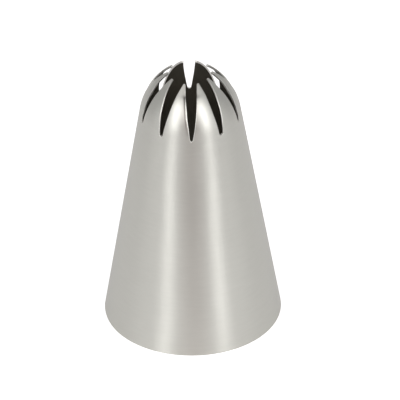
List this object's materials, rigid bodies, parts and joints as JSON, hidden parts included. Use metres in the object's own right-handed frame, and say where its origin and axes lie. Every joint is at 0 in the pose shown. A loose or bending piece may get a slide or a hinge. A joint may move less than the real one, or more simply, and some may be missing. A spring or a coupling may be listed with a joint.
{
  "type": "piping nozzle",
  "caption": "Closed-star piping nozzle: a tapered stainless sheet cone whose slit end is bent into inward-curving teeth around a star-shaped outlet.",
  "frame": {"origin": "centre of the flat rim that the nozzle stands on", "axes": "+Z along the nozzle's axis from the rim to the star outlet; -Y faces one of the slits, and +X faces the middle of a tooth"},
  "size_m": [0.025, 0.025, 0.0386],
  "materials": {
    "sheet": "thin stainless sheet, finely brushed round the axis, with bright cut edges"
  },
  "bodies": {
    "root": {"base_rim": "sheet", "cone_body": "sheet", "tooth_01": "sheet", "tooth_02": "sheet", "tooth_03": "sheet", "tooth_04": "sheet", "tooth_05": "sheet", "tooth_06": "sheet", "tooth_07": "sheet", "tooth_08": "sheet", "tooth_09": "sheet", "tooth_10": "sheet"}
  },
  "joints": []
}
